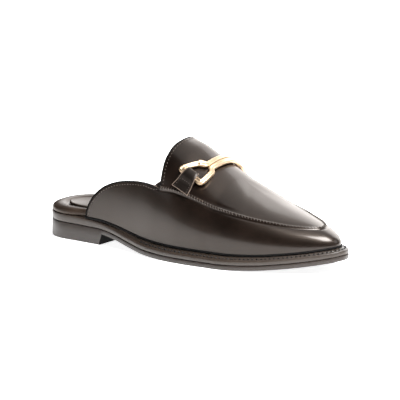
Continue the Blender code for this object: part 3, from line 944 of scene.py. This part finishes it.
def skin_point(point_at, side, where, part, share, place, offset):
    """A point of the leather's outside, with the seam's ridge and the creases."""
    seam, step = seam_level(place), 0.01
    here, there = point_at(side, where, seam, offset), point_at(side, where, seam + step, offset)
    speed = float(np.linalg.norm(there - here)) / step
    level = band_level(part, share, place, speed)
    point = point_at(side, where, level, offset)
    before = point_at(side, where, max(level - step, 0.0), offset)
    after = point_at(side, where, min(level + step, 1.0), offset)
    rise = -crease_depth(point) if level > 0.15 else 0.0
    if part != "band":
        beside = (abs(level - seam) * speed - STITCH_ASIDE) / STITCH_GROOVE_WIDTH
        rise -= STITCH_GROOVE_DEPTH * math.exp(-(beside**2))
    if part == "band":
        rise += SEAM_RISE * (math.cos(math.pi * share) + 1) / 2
    if rise == 0.0:
        return point
    along = (after - before) / np.linalg.norm(after - before)
    crown = point_at(side, where, 1.0, offset)
    away = point[:2] - crown[:2]
    if point_at is body_point:
        away = np.array((0.0, float(side)))
    out = np.array((*(away / max(np.hypot(*away), 1e-6)), 0.0))
    up = np.array((0.0, 0.0, 1.0))
    normal = out * along[2] - up * float(out @ along)
    normal /= max(np.linalg.norm(normal), 1e-9)
    return point + normal * rise


def skin_rows(offset):
    pivot = PIVOT_STATION * LAST_LENGTH
    notch = NOTCH_STATION * LAST_LENGTH
    parts = [("wall", 0.5 - 0.5 * math.cos(math.pi * i / WALL_ROWS)) for i in range(WALL_ROWS)]
    parts += [("band", s) for s in BAND_SHARES]
    parts += [("plug", (i + 1) / PLUG_ROWS) for i in range(PLUG_ROWS)]
    rows = []
    for part, share in parts:
        row = []
        for side in (LATERAL, MEDIAL):
            back = back_edge(part, side, share)
            half = []
            for i in range(BODY_STEPS):
                x = back + (pivot - back) * i / BODY_STEPS
                place = min(max((x - notch) / (pivot - notch), 0.0), 1.0)
                half.append(skin_point(body_point, side, x, part, share, place, offset))
            for i in range(TOE_TURN_STEPS + (1 if side == LATERAL else 0)):
                turn = i / TOE_TURN_STEPS
                angle = math.radians(90 * (1 - turn))
                half.append(skin_point(toe_point, side, angle, part, share, 1 + turn, offset))
            row += half if side == LATERAL else half[::-1]
        rows.append(row)
    return rows


rows = skin_rows(WALL + FIT)
columns = len(rows[0])
skin = [p for row in rows for p in row]
upper = make_mesh("upper_leather_skin", skin, grid_faces(len(rows), columns), calf, 60)
wall = upper.modifiers.new("wall", "SOLIDIFY")
wall.thickness = WALL
wall.offset = -1
upper.data.materials.append(lining)
upper.data.materials.append(calf_edge)
wall.material_offset = 1
wall.material_offset_rim = 2
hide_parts("upper")
print("upper:", len(skin), "points")

# %% [markdown]
# ## Rolled edges
# The topline and the tongue's edge show two lines: a dark one outside and a paler one inside. The
# dark one is taken to be the inked edge of the leather. The paler one lies at the lining's edge and
# is coloured pale as painted highlight of the rolled edge. A slim bead along each gives the soft
# round edge.

# %% A round bead along a line
def smooth_line(points, step):
    """The same line with points at even steps."""
    points = np.array(points)
    lengths = np.concatenate(([0.0], np.cumsum(np.linalg.norm(np.diff(points, axis=0), axis=1))))
    count = max(int(lengths[-1] / step), 2)
    places = np.linspace(0.0, lengths[-1], count + 1)
    return np.stack([np.interp(places, lengths, points[:, k]) for k in range(3)], axis=1)


def bead(name, line, radius, material, sides=10):
    """A round cord along a line, with closed ends."""
    points, faces = [], []
    up = np.array((0.0, 0.0, 1.0))
    for k, centre in enumerate(line):
        tangent = line[min(k + 1, len(line) - 1)] - line[max(k - 1, 0)]
        tangent = tangent / np.linalg.norm(tangent)
        across = np.cross(tangent, up)
        if np.linalg.norm(across) < 0.1:
            across = np.cross(tangent, np.array((1.0, 0.0, 0.0)))
        across /= np.linalg.norm(across)
        if points:
            across = last_across - tangent * float(last_across @ tangent)
            across /= np.linalg.norm(across)
        last_across = across
        other = np.cross(tangent, across)
        for i in range(sides):
            turn = 2 * math.pi * i / sides
            points.append(centre + radius * (across * math.cos(turn) + other * math.sin(turn)))
    faces = grid_faces(len(line), sides, closed=True)
    faces += [tuple(range(sides)), tuple(range(len(points) - sides, len(points)))]
    return make_mesh(name, points, faces, material)


def inward_wall(rows):
    """The leather's outward direction at each end of each row, from the grid's own neighbours."""
    ends = []
    for column_index, step in ((0, 1), (-1, -1)):
        line = []
        for r, row in enumerate(rows):
            below, above = rows[max(r - 1, 0)], rows[min(r + 1, len(rows) - 1)]
            climb = above[column_index] - below[column_index]
            ahead = row[column_index + step] - row[column_index]
            out = np.cross(ahead, climb)
            side = -1 if column_index == 0 else 1
            leans_out = abs(out[1]) > abs(out[2])
            if (leans_out and out[1] * side < 0) or (not leans_out and out[2] < 0):
                out = -out
            line.append((row[column_index], out / max(np.linalg.norm(out), 1e-12)))
        ends.append(line)
    return ends


lateral_end, medial_end = inward_wall(rows)
edge_ends = lateral_end + medial_end[::-1][1:]
EDGE_LINES = (
    # name, depth in the wall, radius, material
    ("topline_pale_bead_painted_highlight", WALL * 0.72, 0.62 * MM, pale_edge_painted_highlight),
    ("topline_inked_edge", WALL * 0.12, 0.50 * MM, ink_and_painted_shade),
)
for label, depth, radius, leather_edge in EDGE_LINES:
    edge_line = smooth_line([p - n * depth for p, n in edge_ends], 1.2 * MM)
    bead(label, edge_line, radius, leather_edge)

# %% [markdown]
# A black line runs all round between upper and welt: the shade in the narrow gap where they meet.
# It may be an inked seam or only the shadow of a gap, which the photo doesn't tell. The solids
# meet 0.3 mm apart, too little to show as that line, so a thin matt black cord stands for it here,
# as painted shade.

# %% The painted shade between upper and welt
CORD_RADIUS = 0.95 * MM
CORD_LIFT = np.array((0.0, 0.0, 0.2 * MM))
foot_line = smooth_line([p + CORD_LIFT for p in rows[0]], 2.0 * MM)
# A matt black cord along the upper's foot: painted shade of the gap between upper and welt.
bead("painted_shade_cord_at_feather", foot_line, CORD_RADIUS, ink_and_painted_shade)
print("cord between upper and welt:", round(CORD_RADIUS * 2 / MM, 2), "mm thick")

# %% [markdown]
# ## Stitches
# A stitch is a short round piece of thread that dips into the leather at both ends. Each row of
# them follows a line that is laid on the skin, a set distance in from an edge. On the apron the
# threads cross the seam's ridge instead, a pitch apart.

# %% Rows of stitches
skin_tree = BVHTree.FromPolygons([Vector(p) for p in skin], grid_faces(len(rows), columns))


def on_skin(point, height=0.0):
    """The nearest point of the leather and the way out there."""
    place, normal, _, _ = skin_tree.find_nearest(Vector(point))
    place, normal = np.array(place), np.array(normal)
    middle = np.array((place[0], 0.0, 0.03))
    if float(normal @ (place - middle)) < 0:
        normal = -normal
    return place + normal * height, normal


def stitches(name, line, outs, length, gap, radius, material):
    """Separate stitches along a line of points with the way out at each."""
    line = np.array(line)
    lengths = np.concatenate(([0.0], np.cumsum(np.linalg.norm(np.diff(line, axis=0), axis=1))))
    outs = np.array(outs)
    points, faces = [], []
    start = gap / 2
    sides = 6
    while start + length < lengths[-1]:
        base = len(points)
        for k in range(5):
            share = k / 4
            at = start + length * share
            centre = np.array([np.interp(at, lengths, line[:, j]) for j in range(3)])
            ahead = np.array([np.interp(at + 1e-4, lengths, line[:, j]) for j in range(3)])
            out = np.array([np.interp(at, lengths, outs[:, j]) for j in range(3)])
            out /= np.linalg.norm(out)
            tangent = (ahead - centre) / max(np.linalg.norm(ahead - centre), 1e-12)
            across = np.cross(tangent, out)
            bow = math.sin(math.pi * share)
            thick = radius * (0.45 + 0.55 * bow)
            lift = radius * (1.15 * bow - 0.55)
            for i in range(sides):
                turn = 2 * math.pi * i / sides
                above = out * (lift + thick * math.sin(turn))
                points.append(centre + above + across * thick * math.cos(turn))
        for k in range(4):
            for i in range(sides):
                a, b = base + k * sides + i, base + k * sides + (i + 1) % sides
                faces.append((a, b, b + sides, a + sides))
        ends = (base, base + 4 * sides)
        faces += [tuple(end + i for i in range(sides)) for end in ends]
        start += length + gap
    row = make_mesh(name, points, faces, material)
    return row


def laid(line, height=0.0):
    """Lays a line of points on the leather and gives the way out at each."""
    places = [on_skin(p, height) for p in line]
    return [p for p, _ in places], [n for _, n in places]


# %% The apron's threads and the topline's row
SEAM_STEP = 0.8 * MM


def seam_line(shift):
    """A line along the apron seam, shifted across it in metres."""
    start = WALL_ROWS + BAND_SHARES.index(0.0)
    line = []
    for c in range(columns):
        here = rows[start][c]
        across = rows[start + 5][c] - rows[start - 5][c]
        line.append(here + across / np.linalg.norm(across) * shift)
    return smooth_line(line, SEAM_STEP)


TICK_SHARES = (-1.0, -0.7, -0.35, 0.0, 0.35, 0.7, 1.0)
TICK_SUNK = -0.25 * MM
TICK_PROUD = 0.12 * MM


def seam_ticks(pitch, reach, radius):
    """Short threads that cross the seam's ridge, a pitch apart."""
    laid_out = [seam_line(shift) for shift in (-reach, 0.0, reach)]
    length = min(len(line) for line in laid_out)
    step = max(int(round(pitch / SEAM_STEP)), 1)
    first, crest, last = (
        [line[int(k * (len(line) - 1) / (length - 1))] for k in range(length)] for line in laid_out
    )
    points, faces = [], []
    for k in range(2, length - 2, step):
        base = len(points)
        for share in TICK_SHARES:
            near = first[k] if share < 0 else last[k]
            start = crest[k] + (near - crest[k]) * abs(share)
            centre, out = on_skin(start, TICK_SUNK if abs(share) == 1.0 else TICK_PROUD)
            run = (last[k] - first[k]) / np.linalg.norm(last[k] - first[k])
            across = np.cross(run, out)
            across /= np.linalg.norm(across)
            for i in range(6):
                turn = math.pi * i / 3
                points.append(centre + radius * (across * math.cos(turn) + out * math.sin(turn)))
        for r in range(6):
            for i in range(6):
                a, b = base + r * 6 + i, base + r * 6 + (i + 1) % 6
                faces.append((a, b, b + 6, a + 6))
        faces += [tuple(base + i for i in range(6)), tuple(base + 36 + i for i in range(6))]
    row = make_mesh("apron_stitches", points, faces, grey_thread)
    return row


seam_ticks(2.4 * MM, 1.6 * MM, 0.30 * MM)

TOPLINE_INSET = 2.4 * MM
LEVEL_RUN = 0.3
inset_line = []
edge_points = [p for p, _ in edge_ends]
edge_outs = [n for _, n in edge_ends]
for k in range(1, len(edge_points) - 1):
    run = edge_points[k + 1] - edge_points[k - 1]
    if np.linalg.norm(run) < 1e-6:
        continue
    aside = np.cross(edge_outs[k], run / np.linalg.norm(run))
    on_quarter = edge_points[k][0] < NOTCH_STATION * LAST_LENGTH
    runs_back = aside[0] < -LEVEL_RUN
    climbs_off = abs(aside[0]) <= LEVEL_RUN and aside[2] > 0 and on_quarter
    if runs_back or climbs_off:
        aside = -aside
    inset_line.append(edge_points[k] + aside * TOPLINE_INSET)
line, outs = laid(smooth_line(inset_line, 0.8 * MM))
stitches("topline_stitches", line, outs, 1.7 * MM, 1.1 * MM, 0.36 * MM, grey_thread)

# %% The welt's row
WELT_STITCH_START = 0.40
stitch_height = welt_slope(WELT_STITCH_INSET, 0.2)
welt_line = []
for side in (LATERAL, MEDIAL):
    part_line = []
    for x in fine_stations():
        if x > WELT_STITCH_START * LAST_LENGTH:
            px, py = plan_rear(side, x, margin_at(x, rear, fore) - WELT_STITCH_INSET)
            part_line.append((px, py, stitch_height(px)))
    for i in range(TOE_STEPS + 1):
        px, py = plan_toe(side, math.radians(90 * (1 - i / TOE_STEPS)), fore - WELT_STITCH_INSET)
        part_line.append((px, py, stitch_height(px)))
    welt_line.append([np.array(p) for p in part_line])
welt_line = smooth_line(welt_line[0] + welt_line[1][::-1][1:], 1.0 * MM)
welt_outs = [np.array((0.0, 0.0, 1.0))] * len(welt_line)
# The near-black thread also stands as painted shade of the stitch slots.
stitches("welt_stitches", welt_line, welt_outs, 1.9 * MM, 1.4 * MM, 0.62 * MM, thread)

# %% [markdown]
# ## The bit
# Two stirrups joined by an arch of two strands, bent from bar and plated. The whole is one closed
# ring of bar that follows the vamp, which is how it lies once the tabs are sewn down.

# %% The vamp under the bit
def vamp_frame():
    """The crest of the vamp under the bit, and the way forward along it."""
    x = BIT_STATION * LAST_LENGTH
    step = 0.002
    offset = WALL + FIT
    crest = body_point(LATERAL, x, 1.0, offset)
    along = body_point(LATERAL, x + step, 1.0, offset) - body_point(LATERAL, x - step, 1.0, offset)
    along[1] = 0.0
    along /= np.linalg.norm(along)
    return crest, along


def flank(side, forward, reach, height):
    """A point over the vamp in the bit's own plane: forward of it, reach down the side from the
    crest, height above the leather. It comes with the way out and the way down there."""
    crest, along = vamp_frame()
    offset = WALL + FIT
    points = []
    for level in np.linspace(1.0, 0.22, 40):
        x = crest[0] + forward
        for _ in range(6):
            point = body_point(side, x, level, offset)
            x += (forward - float((point - crest) @ along)) / along[0]
        points.append(body_point(side, x, level, offset))
    points = np.array(points)
    lengths = np.concatenate(([0.0], np.cumsum(np.linalg.norm(np.diff(points, axis=0), axis=1))))
    place = np.array([np.interp(reach, lengths, points[:, k]) for k in range(3)])
    ahead = np.array([np.interp(reach + 0.002, lengths, points[:, k]) for k in range(3)])
    behind = np.array([np.interp(max(reach - 0.002, 0.0), lengths, points[:, k]) for k in range(3)])
    down = (ahead - behind) / np.linalg.norm(ahead - behind)
    out = np.cross(down, along) * -side
    out /= np.linalg.norm(out)
    return place + out * height, out, down


def wire_height():
    """How high the stirrup's outer bar runs above the leather, inside the tab's fold."""
    return FIT + TAB_LAYER + FIT + BIT_THICKNESS / 2


# %% The bit's bar
def bit_control():
    """Control points of the ring: where the bar's centre runs and the way out there."""
    strand = (STRAND_WIDTH + STRAND_GAP) / 2
    low = FIT + BIT_THICKNESS / 2
    rows_out = []
    for direction in (1, -1):
        for share in ARCH_SHARES[::direction]:
            side = MEDIAL if share > 0 else LATERAL
            height = low + ARCH_RISE * (1 - share * share)
            rows_out.append(flank(side, strand * direction, abs(share) * ARCH_REACH, height)[:2])
        side = MEDIAL if direction == 1 else LATERAL
        bend = [(1, *row) for row in STIRRUP] + [(-1, *row) for row in STIRRUP[::-1]]
        for turn, widening, way in bend:
            half = (STIRRUP_INNER + (STIRRUP_OUTER - STIRRUP_INNER) * widening) / 2
            reach = ARCH_REACH + (STIRRUP_REACH - ARCH_REACH) * way
            height = low + (wire_height() - low) * way
            rows_out.append(flank(side, direction * turn * half - STIRRUP_SKEW * way, reach, height)[:2])
    return [r[0] for r in rows_out], [r[1] for r in rows_out]


def softened(values):
    cut = []
    for k, here in enumerate(values):
        after = values[(k + 1) % len(values)]
        cut += [0.75 * here + 0.25 * after, 0.25 * here + 0.75 * after]
    return cut


BAR_GROOVE = 0.45 * MM


def bar_section(width, thickness, steps=32):
    """A bar's section: flat with round shoulders and a shallow groove along its outside."""
    section = []
    for i in range(steps):
        turn = 2 * math.pi * i / steps
        c, s = math.cos(turn), math.sin(turn)
        aside = 0.5 * width * math.copysign(abs(c) ** 0.6, c)
        above = 0.5 * thickness * math.copysign(abs(s) ** 0.6, s)
        if s > 0:
            above -= BAR_GROOVE * math.exp(-((aside / (0.14 * width)) ** 2))
        section.append((aside, above))
    return section


centres, outs = bit_control()
for _ in range(3):
    centres, outs = softened(centres), softened(outs)
points = []
section = bar_section(1.12 * STRAND_WIDTH, 1.1 * BIT_THICKNESS)
KNUCKLE_SWELL = 0.28
KNUCKLE_LENGTH = 0.9 * MM
KNUCKLE_REACH = 3.0 * MM
KNUCKLE_FORWARD = -0.7 * (STRAND_WIDTH + STRAND_GAP) - 1.2 * MM
KNUCKLE_OUT = ARCH_REACH + 0.5 * MM
knuckles = [flank(side, KNUCKLE_FORWARD, KNUCKLE_OUT, 0.0)[0] for side in (LATERAL, MEDIAL)]
for k, centre in enumerate(centres):
    tangent = centres[(k + 1) % len(centres)] - centres[k - 1]
    tangent /= np.linalg.norm(tangent)
    out = outs[k] - tangent * float(outs[k] @ tangent)
    out /= np.linalg.norm(out)
    across = np.cross(tangent, out)
    nearest = min(float(np.linalg.norm(centre - knuckle)) for knuckle in knuckles)
    swell = 1 + KNUCKLE_SWELL * math.exp(-((max(nearest - KNUCKLE_REACH, 0.0) / KNUCKLE_LENGTH) ** 2))
    points += [centre + (across * u + out * v) * swell for u, v in section]
ring_faces = grid_faces(len(centres), len(section), closed=True)
last = (len(centres) - 1) * len(section)
for j in range(len(section)):
    ring_faces.append((last + j, last + (j + 1) % len(section), (j + 1) % len(section), j))
bit = make_mesh("snaffle_bit", points, ring_faces, gold, 50)
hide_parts("bit")

# %% [markdown]
# ## The tabs
# A strip of leather is folded round the stirrup's outer bar and stitched down in a square.

# %% The tabs
def tab(name, node, side):
    fold = tuple((float(i), *row) for i, row in enumerate(FOLD))
    full = wire_height() + BIT_THICKNESS / 2 + FIT + TAB_LAYER
    columns_across, steps = 17, 32
    points = []
    for r in range(steps + 1):
        at = r / steps * (len(FOLD) - 1)
        way, low_share, high_share = (column(fold, i, at) for i in (1, 2, 3))
        progress = (way - FOLD[0][0]) / (FOLD[-1][0] - FOLD[0][0])
        half = 0.5 * (TAB_TOP_WIDTH + (TAB_FOOT_WIDTH - TAB_TOP_WIDTH) * progress)
        middle = TAB_TOP_FORWARD + (TAB_FOOT_FORWARD - TAB_TOP_FORWARD) * progress
        reach = STIRRUP_REACH + way
        places = [flank(side, middle + half * u, reach, 0.0)[:2] for u in (-1, 0, 1)]
        for share, lift in ((low_share, 0), (high_share, 1)):
            for i in range(columns_across):
                u = 2 * i / (columns_across - 1) - 1
                crown = 1 - 0.12 * abs(u) ** 6 if lift else 1.0
                height = FIT + (full - FIT) * share * crown
                weights = (0.5 * u * (u - 1), 1 - u * u, 0.5 * u * (u + 1))
                base = sum(w * p for w, (p, _) in zip(weights, places))
                out = sum(w * o for w, (_, o) in zip(weights, places))
                points.append(base + out / np.linalg.norm(out) * height)
    faces = []
    n = columns_across
    for r in range(steps):
        low, high = 2 * r * n, (2 * r + 1) * n
        for i in range(n - 1):
            faces.append((low + i, low + 2 * n + i, low + 2 * n + i + 1, low + i + 1))
            faces.append((high + i, high + i + 1, high + 2 * n + i + 1, high + 2 * n + i))
        for i in (0, n - 1):
            faces.append((low + i, high + i, high + 2 * n + i, low + 2 * n + i))
    for r in (0, steps):
        low, high = 2 * r * n, (2 * r + 1) * n
        for i in range(n - 1):
            faces.append((low + i, low + i + 1, high + i + 1, high + i))
    def surface(r, u):
        """A point on the tab's outside, and the way out there."""
        row = points[(2 * r + 1) * n : (2 * r + 2) * n]
        under = points[2 * r * n : (2 * r + 1) * n]
        k = (u + 1) / 2 * (n - 1)
        low_k = min(int(k), n - 2)
        top = row[low_k] * (low_k + 1 - k) + row[low_k + 1] * (k - low_k)
        foot = under[low_k] * (low_k + 1 - k) + under[low_k + 1] * (k - low_k)
        return top, (top - foot) / np.linalg.norm(top - foot)

    rim = [surface(r, -0.97)[0] for r in range(4, steps)]
    rim += [surface(steps - 1, u)[0] for u in (-0.5, 0, 0.5)]
    rim += [surface(r, 0.97)[0] for r in range(steps - 1, 3, -1)]
    rim_line = smooth_line(rim, 0.8 * MM)
    # A pale bead along the tab's edges: painted highlight along its bevel.
    bead(name + "_edge", rim_line, 0.28 * MM, pale_edge_painted_highlight, 6)
    first, last_row = int(0.60 * steps), int(0.93 * steps)
    square = [surface(r, -0.72) for r in range(first, last_row)]
    square += [surface(last_row, u / 10) for u in range(-7, 8)]
    square += [surface(r, 0.72) for r in range(last_row, first, -1)]
    square += [surface(first, u / 10) for u in range(7, -8, -1)]
    line = smooth_line([p for p, _ in square], 0.5 * MM)
    line_outs = [min(square, key=lambda pair: np.linalg.norm(pair[0] - p))[1] for p in line]
    stitches(name + "_stitches", line, line_outs, 1.3 * MM, 0.7 * MM, 0.22 * MM, grey_thread)
    piece = make_mesh(name, points, faces, tab_leather, 50)
    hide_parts(node)
    return piece


tab("tab_folded_lateral", "tab_lateral", LATERAL)
tab("tab_folded_medial", "tab_medial", MEDIAL)

# %% [markdown]
# ## Floor, light and camera
# A pale seamless floor and five broad soft lamps, as in a catalogue picture. Each lamp is placed
# where the photo's leather shows a reflection. The camera stands
# in front of the toe's lateral side, a little above the shoe, with a long lens.

# %% Stage
bpy.ops.mesh.primitive_plane_add(size=30.0, location=(0.0, 0.0, 0.0))
floor = bpy.context.object
floor.name = "floor"
floor_paint, tree, shader, place = new_material("backlit_white_acrylic")
haze = add_node(tree, "ShaderNodeTexNoise", inputs={"Vector": place, "Scale": 3.0})
acrylic = mixed(tree, haze.outputs["Fac"], "#fafafa", "#ffffff")
tree.links.new(acrylic.outputs["Color"], shader.inputs["Base Color"])
tree.links.new(acrylic.outputs["Color"], shader.inputs["Emission Color"])
shader.inputs["Emission Strength"].default_value = 0.93
shader.inputs["Roughness"].default_value = 0.9
floor.data.materials.append(floor_paint)

world = bpy.data.worlds.new("studio")
bpy.context.scene.world = world
world.use_nodes = True
backdrop = world.node_tree.nodes["Background"]
backdrop.inputs["Color"].default_value = linear("#f4f2ef")
backdrop.inputs["Strength"].default_value = 0.07


def softbox(name, location, aim, size, power):
    lamp = bpy.data.lights.new(name, "AREA")
    lamp.shape = "RECTANGLE"
    lamp.size, lamp.size_y = size
    lamp.energy = power
    stand = bpy.data.objects.new(name, lamp)
    stand.location = location
    stand.rotation_euler = (Vector(location) - Vector(aim)).to_track_quat("Z", "Y").to_euler()
    bpy.context.scene.collection.objects.link(stand)
    return stand


def aimed(name, azimuth, elevation, distance, size, radiance):
    """A softbox by its direction from the shoe, as seen in the leather, and its brightness."""
    turn, rise = math.radians(azimuth), math.radians(elevation)
    way = (math.sin(turn) * math.cos(rise), -math.cos(turn) * math.cos(rise), math.sin(rise))
    aim = (0.12, 0.0, 0.03)
    place = tuple(a + distance * w for a, w in zip(aim, way))
    return softbox(name, place, aim, size, radiance * math.pi * size[0] * size[1])


LAMPS = (
    # name, azimuth, elevation, distance, size, radiance
    ("back_panel", -166, 27, 1.6, (1.6, 1.35), 3.4),
    ("right_back_panel", 125, 26, 1.6, (0.9, 0.6), 1.8),
    ("toe_softbox", 84, 56, 1.2, (0.52, 0.52), 30.0),
    ("top_panel", 178, 78, 1.5, (1.3, 1.5), 0.9),
    ("front_left_fill", -52, 20, 1.8, (0.7, 0.5), 0.6),
)
for lamp_row in LAMPS:
    aimed(*lamp_row)
print("lamps:", len(LAMPS))

# %% Camera
VIEW_AZIMUTH = 36.0
VIEW_ELEVATION = 12.16
VIEW_DISTANCE = 2.334
PIXELS_PER_MM = 1.308
IMAGE_WIDTH = 400
SHOE_CENTRE_PX = (197.7, 194.8)

low, high = (np.array(corner) for corner in cad_box)
centre = (low + high) / 2
turn, tilt = math.radians(VIEW_AZIMUTH), math.radians(VIEW_ELEVATION)
back = np.array((math.sin(turn) * math.cos(tilt), -math.cos(turn) * math.cos(tilt), math.sin(tilt)))
lens = bpy.data.cameras.new("catalogue_lens")
camera = bpy.data.objects.new("camera", lens)
bpy.context.scene.collection.objects.link(camera)
camera.location = centre + back * VIEW_DISTANCE
camera.rotation_euler = Vector(back).to_track_quat("Z", "Y").to_euler()
lens.sensor_width = 36.0
lens.lens = PIXELS_PER_MM * 1000 * VIEW_DISTANCE / IMAGE_WIDTH * lens.sensor_width
lens.shift_x = (IMAGE_WIDTH / 2 - SHOE_CENTRE_PX[0]) / IMAGE_WIDTH
lens.shift_y = (SHOE_CENTRE_PX[1] - IMAGE_WIDTH / 2) / IMAGE_WIDTH
bpy.context.scene.camera = camera
bpy.context.scene.view_settings.view_transform = "Standard"
